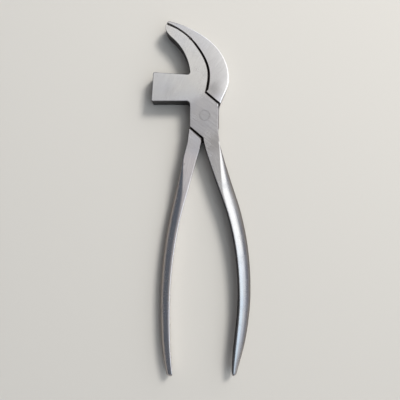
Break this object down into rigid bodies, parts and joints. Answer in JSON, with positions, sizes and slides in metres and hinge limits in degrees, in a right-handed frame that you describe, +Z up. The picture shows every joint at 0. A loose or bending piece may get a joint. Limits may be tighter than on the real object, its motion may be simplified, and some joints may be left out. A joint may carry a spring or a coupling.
{
  "type": "lasting pincers",
  "caption": "Shoemaker's lasting pincers: a curved toothed beak with a hammer head beside it, a flat riveted half-lap joint, and slender bowed grips.",
  "frame": {"origin": "on the rivet's axis, in the plane of the flat underside that the tool lies on", "axes": "+Y runs from the rivet up to the beak, +Z is up out of the face that shows, and +X is to the right, away from the hammer"},
  "size_m": [0.0617, 0.2213, 0.0115],
  "materials": {
    "hammer_lever_steel": "satin ground",
    "outer_lever_steel": "satin ground",
    "rivet_steel": "ground flush"
  },
  "bodies": {
    "outer_half": {"outer_lever": "outer_lever_steel", "pivot_rivet": "rivet_steel"},
    "hammer_half": {"hammer_lever": "hammer_lever_steel"}
  },
  "joints": [
    {"name": "pincers_hinge", "type": "hinge", "parent": "outer_half", "child": "hammer_half", "pos_m": [0, 0, 0], "axis": [0, 0, 1], "range_deg": [0, 76]}
  ]
}
